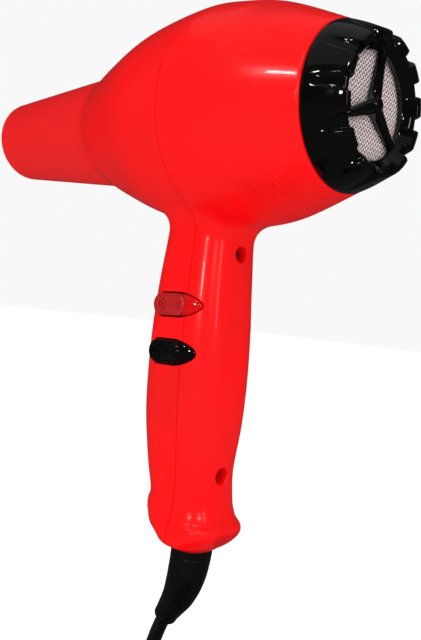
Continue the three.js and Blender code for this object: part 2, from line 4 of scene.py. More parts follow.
import bmesh
import bpy
import numpy as np
from mathutils import Euler, Matrix, Vector


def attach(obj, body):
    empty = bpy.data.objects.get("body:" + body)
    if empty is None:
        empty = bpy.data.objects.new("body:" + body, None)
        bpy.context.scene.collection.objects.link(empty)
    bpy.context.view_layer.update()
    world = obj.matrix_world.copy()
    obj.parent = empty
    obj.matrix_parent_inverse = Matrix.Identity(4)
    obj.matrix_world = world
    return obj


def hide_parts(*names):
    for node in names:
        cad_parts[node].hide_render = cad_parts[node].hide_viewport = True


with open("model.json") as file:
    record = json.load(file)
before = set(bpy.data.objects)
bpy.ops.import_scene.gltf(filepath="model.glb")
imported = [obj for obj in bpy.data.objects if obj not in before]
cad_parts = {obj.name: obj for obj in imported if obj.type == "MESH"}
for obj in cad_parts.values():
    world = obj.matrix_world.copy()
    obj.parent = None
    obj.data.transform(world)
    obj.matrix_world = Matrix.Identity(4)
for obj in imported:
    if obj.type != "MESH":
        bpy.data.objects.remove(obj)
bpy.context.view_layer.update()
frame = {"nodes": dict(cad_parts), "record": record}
nodes = frame["nodes"]

# The pieces are drawn in millimetres in the barrel's own frame, with X along the barrel, and then
# brought into the dryer's frame in metres, whose origin is the middle of the hand grip.
BARREL_LEVEL = 0.115
INTO_FRAME = Matrix.Translation((0.005, 0.0, BARREL_LEVEL)) @ Matrix.Scale(0.001, 4)

# Barrel: nozzle mouth, the nozzle's root on the bulb, the bulb's rear edge, (x, radius) of the bulb.
TIP_X = -157.0
TIP_RADIUS = 21.1
MOUTH_WALL = 2.6
ROOT_X = -74.0
ROOT_RADIUS = 26.7
REAR_X = 57.5
REAR_RADIUS = 32.0
WALL = 2.4
BULB = [(-74, 26.7), (-56, 33.8), (-30, 41.9), (0, 46), (15, 45.1), (32, 42), (57.5, 32)]
# Handle: how far below the barrel's axis, then the middle, half depth and half width there.
HANDLE = [
    (30, -6, 20.6, 17.2), (46, -6.3, 18.1, 16.8), (71, -6.6, 19.8, 18.4), (91, -6.2, 21.3, 19.3),
    (111, -5.6, 22, 19.3), (130, -5, 21.6, 18.4), (150, -3.9, 19.2, 16.5), (162, -1.4, 18.1, 16),
    (166.5, -1.2, 19.2, 16.3), (170, -0.2, 20.1, 16.8), (172.5, 1.8, 20.9, 17.4),
    (175.5, 2.6, 19.6, 18), (178.5, 3.8, 15.8, 17.8), (181.5, 4, 12.3, 16.4), (184, 3.2, 9.8, 11),
    (188, 3.1, 6.5, 7.5),
]
HANDLE_POWER = 2.4
HANDLE_FILLET = 8.0
HEEL_DROP = 184.0
HEEL_FLOOR = 181.5

# Rocker switches: drop below the axis and width of each.
SWITCH_TILT = math.radians(3)
SWITCH_X = -4.9
SWITCH_FACE_Y = -20.4
SWITCH_HALF = 12.5
PAD_LENGTH = 19.0
SWITCHES = {"heat_rocker": (80.8, 9.8), "speed_rocker": (100.8, 10.4)}

# Handle screws: drop, the depth of the seat under the head, and the handle's back at the recess.
SCREWS = [(57.0, 5.2, 12.6), (151.0, 7.4, 15.1)]
BOSS_RADIUS = 4.8

# Cord: from the strain relief down to the floor, into a tied coil and out to the plug.
RELIEF_X = 2.7
CORD_DIAMETER = 6.5
FLOOR_DROP = 300.0
COIL_RADIUS = 35.5
COIL_SPAN = 17.3
COIL_Y = -35.0
COIL_LAYERS = 4
COIL_TURNS = 10.5
COIL_LIFT = 1.2
HANG_X = -17.0
COIL_OUTER = COIL_RADIUS + COIL_SPAN / 2
COIL_X = HANG_X + COIL_OUTER
COIL_EXIT_X = COIL_X + COIL_OUTER
CORD_LEVEL = -FLOOR_DROP + CORD_DIAMETER / 2
COIL_TOP = CORD_LEVEL + COIL_LIFT + (COIL_LAYERS - 1) * CORD_DIAMETER
PLUG_Y = 55.0
PLUG_HALF = 13.0
PLUG_LENGTH = 38.0
PIN_SPREAD = 9.5


# ---- mesh helpers ------------------------------------------------------------------------------

def new_object(name, vertices, faces):
    mesh = bpy.data.meshes.new(name)
    mesh.from_pydata([tuple(v) for v in vertices], [], faces)
    thing = bpy.data.objects.new(name, mesh)
    bpy.context.scene.collection.objects.link(thing)
    return thing


def healed(thing, distance=1e-4):
    """Merges doubled corners and turns the faces outwards."""
    work = bmesh.new()
    work.from_mesh(thing.data)
    bmesh.ops.remove_doubles(work, verts=work.verts, dist=distance)
    bmesh.ops.dissolve_degenerate(work, edges=work.edges, dist=1e-6)
    bmesh.ops.recalc_face_normals(work, faces=work.faces)
    work.to_mesh(thing.data)
    work.free()
    return thing


def skinned(name, rings, cap_ends=True, loop=False):
    """Skins rings that have the same number of points."""
    rings = np.asarray(rings, float)
    rows, count = rings.shape[:2]
    faces = []
    for row in range(rows if loop else rows - 1):
        a = row * count
        b = ((row + 1) % rows) * count
        for i in range(count):
            j = (i + 1) % count
            faces.append((a + i, a + j, b + j, b + i))
    if cap_ends and not loop:
        faces.append(tuple(range(count))[::-1])
        faces.append(tuple(range((rows - 1) * count, rows * count)))
    return healed(new_object(name, rings.reshape(-1, 3), faces))


def turned(name, outline, sides=96):
    """A closed outline of (x, radius) corners, turned about the barrel's axis."""
    angles = np.linspace(0, 2 * np.pi, sides, endpoint=False)
    rings = [
        np.stack([np.full(sides, x), r * np.cos(angles), r * np.sin(angles)], axis=1)
        for x, r in outline
    ]
    return skinned(name, rings, loop=True)


def settled(thing):
    """Turns what the modifiers show into the piece's own mesh."""
    shown = thing.evaluated_get(bpy.context.evaluated_depsgraph_get())
    mesh = bpy.data.meshes.new_from_object(shown)
    thing.modifiers.clear()
    thing.data = mesh
    return thing


def carved(thing, tool, operation="DIFFERENCE", keep=False):
    """Cuts the tool away, or joins or crosses the two, and uses the tool up unless it is kept."""
    step = thing.modifiers.new("carve", "BOOLEAN")
    step.solver = "MANIFOLD"
    step.operation = operation
    step.object = tool
    settled(thing)
    if not keep:
        bpy.data.objects.remove(tool)
    return thing


def copied(thing, name):
    twin = bpy.data.objects.new(name, thing.data.copy())
    bpy.context.scene.collection.objects.link(twin)
    return twin


def merged(name, *things):
    """One object that holds every piece's faces."""
    work = bmesh.new()
    for thing in things:
        work.from_mesh(thing.data)
        bpy.data.objects.remove(thing)
    mesh = bpy.data.meshes.new(name)
    work.to_mesh(mesh)
    work.free()
    whole = bpy.data.objects.new(name, mesh)
    bpy.context.scene.collection.objects.link(whole)
    return whole


def smooth(thing, angle=38):
    mesh = thing.data
    mesh.polygons.foreach_set("use_smooth", [True] * len(mesh.polygons))
    mesh.set_sharp_from_angle(angle=math.radians(angle))
    return thing


def cylinder_x(name, x0, x1, radius, down=0.0, sides=48):
    rod = turned(name, [(x0, 0), (x0, radius), (x1, radius), (x1, 0)], sides)
    rod.data.transform(Matrix.Translation((0, 0, -down)))
    return rod


def prism_y(name, outline, y0, y1):
    """An outline of (x, z) corners, extruded along Y."""
    outline = np.asarray(outline, float)
    x, z = outline.T
    return skinned(name, [np.stack([x, np.full(len(x), y), z], axis=1) for y in (y0, y1)])


def stadium(half_length, radius, points=32):
    """A stadium outline about the origin, along X."""
    reach = half_length - radius
    right = np.linspace(-np.pi / 2, np.pi / 2, points)
    left = np.linspace(np.pi / 2, 3 * np.pi / 2, points)
    a = np.stack([reach + radius * np.cos(right), radius * np.sin(right)], axis=1)
    b = np.stack([-reach + radius * np.cos(left), radius * np.sin(left)], axis=1)
    return np.concatenate([a, b])


def superellipse(half_x, half_z, power, points=40):
    """An oval outline that grows squarer with a higher power."""
    angles = np.linspace(0, 2 * np.pi, points, endpoint=False)
    c, s = np.cos(angles), np.sin(angles)
    return np.stack([
        half_x * np.sign(c) * np.abs(c) ** (2 / power),
        half_z * np.sign(s) * np.abs(s) ** (2 / power),
    ], axis=1)


def rocker_outline(side, grow=0.0, points=28):
    """A rocker's outline: round at the nozzle end, narrowing to a soft point at the other."""
    half, side = SWITCH_HALF + grow, side + grow
    turn = np.linspace(np.pi / 2, 3 * np.pi / 2, points)
    round_end = np.stack([side - half + side * np.cos(turn), side * np.sin(turn)], axis=1)
    share = np.linspace(0, 1, points)
    flank = side * np.sqrt(np.maximum(1 - share ** 2.2, 0)) * (1 - 0.22 * share)
    straight_end = 3
    along = straight_end + (half - straight_end) * share
    below = np.stack([along, -flank], axis=1)
    above = np.stack([along, flank], axis=1)[-2::-1]
    return np.concatenate([round_end[1:-1], below, above])


def catmull(points, per_span=8):
    """A smooth row of points through the given ones."""
    points = np.asarray(points, float)
    last = len(points) - 1
    row = []
    for i in range(last):
        p0, p1, p2, p3 = (points[min(max(i + k, 0), last)] for k in (-1, 0, 1, 2))
        for t in np.arange(per_span) / per_span:
            v0, v1 = (p2 - p0) / 2, (p3 - p1) / 2
            row.append((2 * p1 - 2 * p2 + v0 + v1) * t ** 3
                       + (-3 * p1 + 3 * p2 - 2 * v0 - v1) * t ** 2 + v0 * t + p1)
    row.append(points[-1])
    return np.array(row)


def finished(thing, body, slot, material, *replaced):
    """Brings a piece into the dryer's frame, gives it its finish and lets it ride on its body."""
    thing.data.transform(INTO_FRAME)
    thing.data.materials.clear()
    thing.data.materials.append(material)
    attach(thing, body)
    if replaced:
        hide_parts(*replaced)
    return thing


# ---- finishes ----------------------------------------------------------------------------------

GROOVE_PITCH = 0.0011
HEEL_RIB_PITCH = 0.0013
WINDING_PITCH = 0.0005


class Finish:
    """A Principled surface with helpers for the nodes that shape it."""

    def __init__(self, name):
        self.material = bpy.data.materials.new(name)
        self.material.use_nodes = True
        self.nodes = self.material.node_tree.nodes
        self.links = self.material.node_tree.links
        self.surface = self.nodes["Principled BSDF"]
        self.place = self.nodes.new("ShaderNodeTexCoord").outputs["Object"]

    def set(self, **values):
        for name, value in values.items():
            self.surface.inputs[name.replace("_", " ")].default_value = value
        return self

    def noise(self, scale, detail=3, stretch=None):
        node = self.nodes.new("ShaderNodeTexNoise")
        node.inputs["Scale"].default_value = scale
        node.inputs["Detail"].default_value = detail
        place = self.place
        if stretch:
            mapping = self.nodes.new("ShaderNodeMapping")
            mapping.inputs["Scale"].default_value = stretch
            self.links.new(place, mapping.inputs["Vector"])
            place = mapping.outputs["Vector"]
        self.links.new(place, node.inputs["Vector"])
        return node.outputs["Fac"]

    def ramp(self, value, low, high, start=0.0, end=1.0):
        node = self.nodes.new("ShaderNodeMapRange")
        node.interpolation_type = "SMOOTHSTEP"
        limits = {"From Min": low, "From Max": high, "To Min": start, "To Max": end}
        for name, number in limits.items():
            node.inputs[name].default_value = number
        self.links.new(value, node.inputs["Value"])
        return node.outputs["Result"]

    def maths(self, operation, a, b=0.0):
        node = self.nodes.new("ShaderNodeMath")
        node.operation = operation
        for socket, value in zip(node.inputs, (a, b)):
            if isinstance(value, (int, float)):
                socket.default_value = value
            else:
                self.links.new(value, socket)
        return node.outputs["Value"]

    def waves(self, distance, pitch):
        return self.maths("SINE", self.maths("MULTIPLY", distance, 2 * math.pi / pitch))

    def axis(self, name):
        node = self.nodes.new("ShaderNodeSeparateXYZ")
        self.links.new(self.place, node.inputs["Vector"])
        return node.outputs[name]

    def colour(self, base, other, factor):
        node = self.nodes.new("ShaderNodeMix")
        node.data_type = "RGBA"
        node.inputs["A"].default_value = (*base, 1)
        node.inputs["B"].default_value = (*other, 1)
        self.links.new(factor, node.inputs["Factor"])
        self.links.new(node.outputs["Result"], self.surface.inputs["Base Color"])
        return self

    def roughness(self, value):
        self.links.new(value, self.surface.inputs["Roughness"])
        return self

    def bump(self, height, distance, strength=1.0):
        node = self.nodes.new("ShaderNodeBump")
        node.inputs["Distance"].default_value = distance
        node.inputs["Strength"].default_value = strength
        self.links.new(height, node.inputs["Height"])
        earlier = self.surface.inputs["Normal"].links
        if earlier:
            self.links.new(earlier[0].from_socket, node.inputs["Normal"])
        self.links.new(node.outputs["Normal"], self.surface.inputs["Normal"])
        return self


def gloss_shell_red():
    """Glossy red plastic, with fine turned grooves round the bulb's back and ribs under the heel."""
    f = Finish("gloss_shell_red")
    f.set(Coat_Weight=0.18, Coat_Roughness=0.04, Specular_IOR_Level=0.2)
    cloud = f.noise(22, 4)
    x, y, z = (f.axis(name) for name in "XYZ")
    nozzle = f.ramp(x, -0.062, -0.082)
    tone = f.maths("MAXIMUM", f.ramp(cloud, 0.42, 0.75, 0, 0.6), f.maths("MULTIPLY", nozzle, 0.5))
    f.colour((0.82, 0.002, 0.003), (0.62, 0.004, 0.005), tone)
    scuff = f.noise(240, 6, (1, 1, 0.25))
    rubbed = f.maths("ADD", f.ramp(scuff, 0.6, 0.74, 0, 0.04), f.maths("MULTIPLY", nozzle, 0.1))
    f.roughness(f.maths("ADD", f.ramp(cloud, 0.3, 0.7, 0.2, 0.26), rubbed))
    off_axis = f.maths("ABSOLUTE", f.maths("SUBTRACT", z, BARREL_LEVEL))
    on_bulb = f.maths("MULTIPLY", f.ramp(x, 0.030, 0.038), f.ramp(off_axis, 0.024, 0.034))
    f.bump(f.maths("MULTIPLY", f.waves(x, GROOVE_PITCH), on_bulb), 0.00016, 0.9)
    across = f.maths("MULTIPLY", f.maths("ABSOLUTE", y), 0.686)
    slant = f.maths("SUBTRACT", f.maths("MULTIPLY", x, 0.719), across)
    under_heel = f.maths("MULTIPLY", f.ramp(z, -0.0580, -0.0592), f.ramp(slant, 0.0138, 0.0148))
    f.bump(f.maths("MULTIPLY", f.waves(slant, HEEL_RIB_PITCH), under_heel), 0.0005, 0.8)
    f.bump(f.noise(520, 2), 0.00001, 0.25)
    return f.material


def gloss_black():
    """Polished black moulding of the intake cap and the speed rocker."""
    f = Finish("gloss_black_moulding")
    f.set(Coat_Weight=0.2, Coat_Roughness=0.06, Specular_IOR_Level=0.4)
    f.colour((0.0008, 0.0008, 0.0007), (0.0022, 0.002, 0.0018), f.noise(60, 4))
    f.roughness(f.ramp(f.noise(180, 5), 0.4, 0.75, 0.05, 0.12))
    f.bump(f.noise(400, 3), 0.00002, 0.3)
    return f.material


def clear_red():
    """The heat rocker's red: frosted and a little translucent on the pad, polished on the nose."""
    f = Finish("clouded_red_moulding")
    f.set(Coat_Weight=0.4, Coat_Roughness=0.04, Subsurface_Weight=0.15, Subsurface_Scale=0.002)
    f.set(Subsurface_Radius=(1.0, 0.15, 0.1))
    nose = f.ramp(f.axis("X"), 0.0058, 0.0066)
    cloud = f.maths("MULTIPLY", f.noise(300, 3), f.maths("SUBTRACT", 1.0, nose))
    f.colour((0.56, 0.002, 0.002), (0.42, 0.007, 0.007), f.ramp(cloud, 0.0, 0.5))
    frost = f.maths("MULTIPLY", cloud, 0.35)
    f.roughness(f.maths("ADD", f.ramp(f.noise(700, 4), 0.35, 0.7, 0.04, 0.1), frost))
    f.bump(f.noise(900, 3), 0.00003, 0.4)
    return f.material


def rubber_black():
    """The strain relief's and plug's rubber, smooth but duller than the cap."""
    f = Finish("smooth_black_rubber")
    f.set(Specular_IOR_Level=0.5)
    f.colour((0.001, 0.001, 0.0008), (0.0035, 0.0035, 0.003), f.noise(90, 4))
    f.roughness(f.ramp(f.noise(260, 5), 0.35, 0.7, 0.24, 0.42))
    f.bump(f.noise(1400, 4), 0.00004, 0.4)
    return f.material


def cord_jacket():
    """A glossy extruded jacket with faint lengthwise draw marks."""
    f = Finish("glossy_cord_jacket")
    f.set(Specular_IOR_Level=0.5, Coat_Weight=0.45, Coat_Roughness=0.1)
    f.colour((0.002, 0.002, 0.002), (0.006, 0.006, 0.0055), f.noise(120, 3))
    f.roughness(f.ramp(f.noise(300, 4), 0.35, 0.7, 0.16, 0.3))
    f.bump(f.noise(600, 4), 0.00003, 0.3)
    return f.material


def metal(name, light, dark, low=0.22, high=0.45, brushed=(1, 1, 1), scale=300):
    f = Finish(name)
    f.set(Metallic=1.0)
    f.colour(light, dark, f.noise(80, 5))
    f.roughness(f.ramp(f.noise(scale, 5, brushed), 0.3, 0.7, low, high))
    f.bump(f.noise(scale * 3, 4, brushed), 0.00002, 0.4)
    return f.material


def filter_wire():
    """Bright wire on the crests, with painted shade, dark and red, down in the hollows between the
    wires.
    """
    f = Finish("filter_wire_painted_hollow_shade")
    f.set(Metallic=0.25)
    # Painted shade: the colour runs from dark red low in the weave to the bright wire colour on the
    # crests facing the rear.
    f.colour((0.24, 0.01, 0.015), (0.97, 0.88, 0.87), f.ramp(f.axis("X"), 0.07015, 0.07055))
    f.roughness(f.ramp(f.noise(900, 3), 0.3, 0.7, 0.25, 0.4))
    f.bump(f.noise(2500, 2), 0.00001, 0.3)
    return f.material


def moulded(name, light, dark, low=0.35, high=0.55, grain=900):
    f = Finish(name)
    f.colour(light, dark, f.noise(70, 4))
    f.roughness(f.ramp(f.noise(200, 4), 0.3, 0.7, low, high))
    f.bump(f.noise(grain, 3), 0.00004, 0.4)
    return f.material


def wound(name, light, dark):
    """Enamelled wire in fine turns."""
    f = Finish(name)
    f.set(Metallic=1.0)
    f.colour(light, dark, f.noise(140, 4))
    f.roughness(f.ramp(f.noise(400, 4), 0.3, 0.7, 0.25, 0.45))
    f.bump(f.waves(f.axis("X"), WINDING_PITCH), 0.0001, 0.7)
    return f.material


def layered_mica():
    f = Finish("layered_mica")
    f.colour((0.50, 0.43, 0.28), (0.34, 0.28, 0.17), f.noise(130, 6))
    f.roughness(f.ramp(f.noise(500, 5), 0.35, 0.7, 0.35, 0.65))
    f.bump(f.noise(1000, 5, (1, 0.3, 1)), 0.00008, 0.5)
    return f.material


RED = gloss_shell_red()
BLACK = gloss_black()
HEAT_RED = clear_red()
RUBBER = rubber_black()
JACKET = cord_jacket()
FILTER_WIRE = filter_wire()
BY_SLOT = {
    "red_gloss": RED,
    "black_gloss": BLACK,
    "black_rubber": RUBBER,
    "steel": metal("machined_steel", (0.62, 0.63, 0.64), (0.42, 0.43, 0.44), brushed=(0.2, 1, 1)),
    "heating_wire": metal("resistance_wire", (0.5, 0.48, 0.46), (0.32, 0.28, 0.26), 0.3, 0.5),
    "filter_steel": FILTER_WIRE,
    "nylon": moulded("dark_glass_nylon", (0.022, 0.022, 0.026), (0.04, 0.04, 0.045)),
    "ivory": moulded("ivory_heatproof_moulding", (0.62, 0.57, 0.47), (0.5, 0.45, 0.36)),
    "copper": wound("enamelled_copper", (0.72, 0.29, 0.12), (0.45, 0.16, 0.06)),
    "brass": metal("turned_brass", (0.78, 0.56, 0.22), (0.55, 0.38, 0.14), 0.2, 0.4),
    "carbon": moulded("pressed_carbon", (0.02, 0.02, 0.021), (0.045, 0.045, 0.046), 0.55, 0.75, 1500),
    "mica": layered_mica(),
    "amber": moulded("dipped_amber_case", (0.72, 0.34, 0.02), (0.55, 0.24, 0.015), 0.2, 0.35),
    "brown_lead": moulded("brown_lead_insulation", (0.1, 0.035, 0.014), (0.07, 0.025, 0.01), 0.3,
                          0.45),
    "blue_lead": moulded("blue_lead_insulation", (0.02, 0.07, 0.38), (0.015, 0.05, 0.27), 0.3, 0.45),
}
# The two handle screws get a near-black steel colour, much darker than the machined steel.
DARK_SCREW_STEEL = metal("dark_screw_steel", (0.06, 0.055, 0.05), (0.025, 0.024, 0.022), 0.3, 0.5)

for part in frame["record"]["subparts"]:
    nodes[part["node"]].data.materials.clear()
    nodes[part["node"]].data.materials.append(BY_SLOT[part["material_slot"]])
for name in ("upper_handle_screw", "lower_handle_screw"):
    nodes[name].data.materials[0] = DARK_SCREW_STEEL


# ---- camera ------------------------------------------------------------------------------------

CAMERA_AT = (0.2179, -0.2268, 0.0423)
CAMERA_TURN = Euler([math.radians(turn) for turn in (87.52, -6.4, 43.66)])


def point_camera():
    lens = bpy.data.cameras.new("camera")
    lens.sensor_width = 36
    lens.lens = 40.39
    lens.clip_start = 0.01
    lens.clip_end = 50
    camera = bpy.data.objects.new("camera", lens)
    bpy.context.scene.collection.objects.link(camera)
    camera.matrix_world = Matrix.LocRotScale(CAMERA_AT, CAMERA_TURN, None)
    bpy.context.scene.camera = camera


point_camera()


# ---- cord --------------------------------------------------------------------------------------

def coil_points():
    """Turns that lie beside and on each other, in layers that run inwards and outwards by turns."""
    per_turn = 24
    total = round(COIL_TURNS * per_turn)
    layer_turns = COIL_TURNS / COIL_LAYERS
    climb_turns = 0.3
    row = []
    for i in range(total + 1):
        turns = i / per_turn
        layer = min(int(turns / layer_turns), COIL_LAYERS - 1)
        across = turns / layer_turns - layer
        inwards = across if layer % 2 == 0 else 1 - across
        radius = COIL_OUTER - COIL_SPAN * inwards
        climb = np.clip((across * layer_turns - (layer_turns - climb_turns)) / climb_turns, 0, 1)
        climb = climb * climb * (3 - 2 * climb) if layer < COIL_LAYERS - 1 else 0
        angle = math.pi + 2 * math.pi * turns
        row.append((
            COIL_X + radius * math.cos(angle),
            COIL_Y + radius * math.sin(angle),
            CORD_LEVEL + COIL_LIFT + (layer + climb) * CORD_DIAMETER,
        ))
    return row


def make_cord():
    """The cord from the strain relief to the plug's neck, and the point where it starts."""
    drop = [
        (-8, 0, -218.6), (-9.4, 0, -221.4), (-11.4, 0, -225.8), (-14, 0, -233), (-15.9, 0, -239.8),
        (HANG_X, 0, -247), (HANG_X, 0, -256), (HANG_X, -1, -266), (HANG_X, -4.8, -276.5),
        (HANG_X, -11.6, -286), (HANG_X, -21, -293), (HANG_X, -29, CORD_LEVEL + 0.7),
    ]
    tail = [
        (COIL_EXIT_X, COIL_Y + past, z)
        for past, z in (
            (11, COIL_TOP - 1), (20, COIL_TOP - 4), (31, COIL_TOP - 9.4), (43, COIL_TOP - 14.2),
            (56, COIL_TOP - 15.6), (69, COIL_TOP - 13.4), (78, -FLOOR_DROP + PLUG_HALF - 0.8),
            (PLUG_Y - COIL_Y - 0.2, -FLOOR_DROP + PLUG_HALF),
        )
    ]
    route = catmull(drop + coil_points() + tail, 3)
    line = bpy.data.curves.new("mains_cord", "CURVE")
    line.dimensions = "3D"
    line.bevel_depth = CORD_DIAMETER / 2000
    line.bevel_resolution = 4
    line.use_fill_caps = True
    spline = line.splines.new("POLY")
    spline.points.add(len(route) - 1)
    for point, at in zip(spline.points, route):
        point.co = (*(INTO_FRAME @ Vector(at)), 1)
    spline.use_smooth = True
    line.materials.append(JACKET)
    cord = bpy.data.objects.new("mains_cord", line)
    bpy.context.scene.collection.objects.link(cord)
    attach(cord, "body")
    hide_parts("cord_drop", "cord_tail", "cord_coil")
    return cord, INTO_FRAME @ Vector(route[0])


def make_plug():
    """A moulded plug with a ribbed neck and a shallow thumb grip on each broad side."""
    stations = [
        (0, 4.2, 4.2, 2), (1, 4.6, 4.6, 2), (3, 4.8, 4.8, 2), (3.6, 4.2, 4.2, 2), (4.8, 4.2, 4.2, 2),
        (5.4, 5, 5, 2), (7, 5.1, 5.1, 2), (7.6, 4.5, 4.5, 2), (8.8, 4.6, 4.5, 2), (9.4, 5.5, 5.3, 2),
        (11, 6.5, 5.9, 2.1), (14, 10, 8, 2.3), (18, 14, 10.4, 2.6), (22, 16.6, 11.8, 2.8),
        (26, 17.4, 12.2, 3), (30, 17.6, 12.0, 3), (34, 17.6, 12.5, 3), (36.6, 17.6, 12.9, 3),
        (37.6, 17.2, 12.6, 3), (38, 16.4, 11.8, 3),
    ]
    rings = []
    for along, half, high, power in stations:
        outline = superellipse(half, high, power)
        rings.append(np.stack([
            COIL_EXIT_X + outline[:, 0],
            np.full(len(outline), PLUG_Y + along),
            -FLOOR_DROP + PLUG_HALF + outline[:, 1],
        ], axis=1))
    return finished(smooth(skinned("plug", rings), 50), "body", "black_rubber", RUBBER, "plug_body")


def make_plug_pins():
    pins = []
    for side in (-1, 1):
        profile = [(0.2, 0), (0.2, 2.4), (17.6, 2.4), (18.6, 2.0), (19.2, 1.1), (19.3, 0)]
        pin = turned("pin", profile, 32)
        turn = Matrix.Rotation(math.pi / 2, 4, "Z")
        at = (COIL_EXIT_X + side * PIN_SPREAD, PLUG_Y + PLUG_LENGTH, -FLOOR_DROP + PLUG_HALF)
        pin.data.transform(Matrix.Translation(at) @ turn)
        pins.append(pin)
    pair = smooth(merged("plug_pins", *pins))
    return finished(pair, "body", "brass", BY_SLOT["brass"], "left_plug_pin", "right_plug_pin")


def make_coil_tie():
    """A soft strap round the coil, with rounded corners and a ridge down its middle."""
    inner = COIL_OUTER - COIL_SPAN - CORD_DIAMETER / 2
    outer = COIL_OUTER + CORD_DIAMETER / 2
    middle = (inner + outer) / 2
    half = (outer - inner) / 2 + 0.5
    height = COIL_LAYERS * CORD_DIAMETER
    rings = []
    for across, out in ((-3.4, 0.1), (-3.4, 0.8), (-2.8, 1.0), (-0.5, 1.0), (0, 1.25), (0.5, 1.0),
                        (2.8, 1.0), (3.4, 0.8), (3.4, 0.1)):
        outline = superellipse(half + out - 0.4, height / 2 + 0.75 + (out - 0.4) * 0.7, 4.5, 64)
        rings.append(np.stack([
            COIL_X + np.full(len(outline), across),
            COIL_Y - middle - outline[:, 0],
            -FLOOR_DROP + height / 2 + 1.3 + outline[:, 1],
        ], axis=1))
    strap = smooth(skinned("coil_strap", rings, loop=True), 45)
    return finished(strap, "body", "nylon", BY_SLOT["nylon"], "coil_tie")


plug = make_plug()
pins = make_plug_pins()
strap = make_coil_tie()
cord, cord_exit = make_cord()


# ---- body shells -------------------------------------------------------------------------------

LIP_DEPTH = 1.2
RIM_DEPTH = 0.9
SEAM_HALF = 0.12


def barrel_table():
    """Radius along the barrel: a straight nozzle, then the bulb, with the crease between eased."""
    bulb = catmull(BULB, 40)
    slope = (ROOT_RADIUS - TIP_RADIUS) / (ROOT_X - TIP_X)
    before = np.array([(TIP_X - 12, TIP_RADIUS - 12 * slope), (TIP_X, TIP_RADIUS)])
    end = (bulb[-1] - bulb[-8]) / (bulb[-1, 0] - bulb[-8, 0])
    after = np.array([bulb[-1] + 12 * end])
    row = np.concatenate([before, bulb, after])
    x = np.arange(TIP_X - 11, REAR_X + 11, 0.25)
    radius = np.interp(x, row[:, 0], row[:, 1])
    window = np.exp(-0.5 * (np.arange(-36, 37) / 12) ** 2)
    padded = np.pad(radius, 36, mode="reflect", reflect_type="odd")
    return x, np.convolve(padded, window / window.sum(), "valid")


BARREL_X, BARREL_R = barrel_table()
HANDLE_ROWS = catmull(HANDLE, 24)


def barrel_distance(p):
    """How far each point lies outside the barrel."""
    radius = np.interp(p[:, 0], BARREL_X, BARREL_R)
    slope = np.interp(p[:, 0], BARREL_X, np.gradient(BARREL_R, BARREL_X))
    return (np.hypot(p[:, 1], p[:, 2]) - radius) / np.sqrt(1 + slope ** 2)


def handle_distance(p):
    """About how far each point lies outside the handle, which starts inside the barrel."""
    down = -p[:, 2]
    middle, deep, wide = (np.interp(down, HANDLE_ROWS[:, 0], HANDLE_ROWS[:, k]) for k in (1, 2, 3))
    u = np.abs(p[:, 0] - middle) / deep
    v = np.abs(p[:, 1]) / wide
    reach = np.maximum((u ** HANDLE_POWER + v ** HANDLE_POWER) ** (1 / HANDLE_POWER), 1e-6)
    out = np.hypot(p[:, 0] - middle, p[:, 1])
    return np.maximum(out * (1 - 1 / reach), p[:, 2] + 20)


def body_distance(p):
    """How far a point lies outside the moulding, with a fillet where the handle meets the barrel."""
    a, b = barrel_distance(p), handle_distance(p)
    h = np.clip(0.5 + 0.5 * (a - b) / HANDLE_FILLET, 0, 1)
    return a * (1 - h) + b * h - HANDLE_FILLET * h * (1 - h)


def body_slope(p, step=0.2):
    """The direction in which the distance grows, from small steps along each axis."""
    rows = []
    for axis in range(3):
        shift = np.zeros(3)
        shift[axis] = step
        rows.append((body_distance(p + shift) - body_distance(p - shift)) / (2 * step))
    return np.stack(rows, axis=1)


def body_mass():
    """The moulding's outside as one solid: skinned roughly, then drawn on to its true surface."""
    outline = [(TIP_X - 6, 0)]
    outline += [(x, np.interp(x, BARREL_X, BARREL_R)) for x in np.arange(TIP_X - 6, REAR_X + 6, 2.5)]
    outline += [(REAR_X + 6, 0)]
    barrel = turned("barrel", outline, 96)
    angles = superellipse(1, 1, HANDLE_POWER, 96)
    rings = [
        np.stack([middle + deep * angles[:, 0], wide * angles[:, 1], np.full(96, -down)], axis=1)
        for down, middle, deep, wide in HANDLE_ROWS[::4]
    ]
    mass = merged("body_mass", barrel, skinned("handle", rings))
    grid = mass.modifiers.new("even", "REMESH")
    grid.mode = "VOXEL"
    grid.voxel_size = 1.25
    settled(mass)
    count = len(mass.data.vertices)
    p = np.zeros(count * 3)
    mass.data.vertices.foreach_get("co", p)
    p = p.reshape(-1, 3)
    free = (p[:, 0] > TIP_X - 4) & (p[:, 0] < REAR_X + 4) & (p[:, 2] > -186)
    for _ in range(6):
        slope = body_slope(p)
        move = -body_distance(p)[:, None] * slope / np.maximum((slope ** 2).sum(1), 0.05)[:, None]
        size = np.linalg.norm(move, axis=1, keepdims=True)
        p += np.where(free[:, None], move * np.minimum(1, 1.5 / np.maximum(size, 1e-9)), 0)
    mass.data.vertices.foreach_set("co", p.ravel())
    mass.data.update()
    return mass


def body_hollow():
    """The air space inside barrel and handle, one wall smaller than the outside."""
    inside = [(TIP_X - 8, 0), (TIP_X - 8, TIP_RADIUS - MOUTH_WALL), (TIP_X, TIP_RADIUS - MOUTH_WALL)]
    inside += [(x, np.interp(x, BARREL_X, BARREL_R) - WALL) for x in np.arange(ROOT_X, REAR_X, 3)]
    inside += [(REAR_X + 8, REAR_RADIUS - WALL), (REAR_X + 8, 0)]
    bore = turned("bore", inside, 96)
    shape = superellipse(1, 1, HANDLE_POWER, 64)
    rings = [
        np.stack([
            middle + (deep - WALL) * shape[:, 0], (wide - WALL) * shape[:, 1], np.full(64, -down),
        ], axis=1)
        for down, middle, deep, wide in HANDLE_ROWS[::4] if down <= HEEL_FLOOR
    ]
    return carved(bore, skinned("grip_hollow", rings), "UNION")


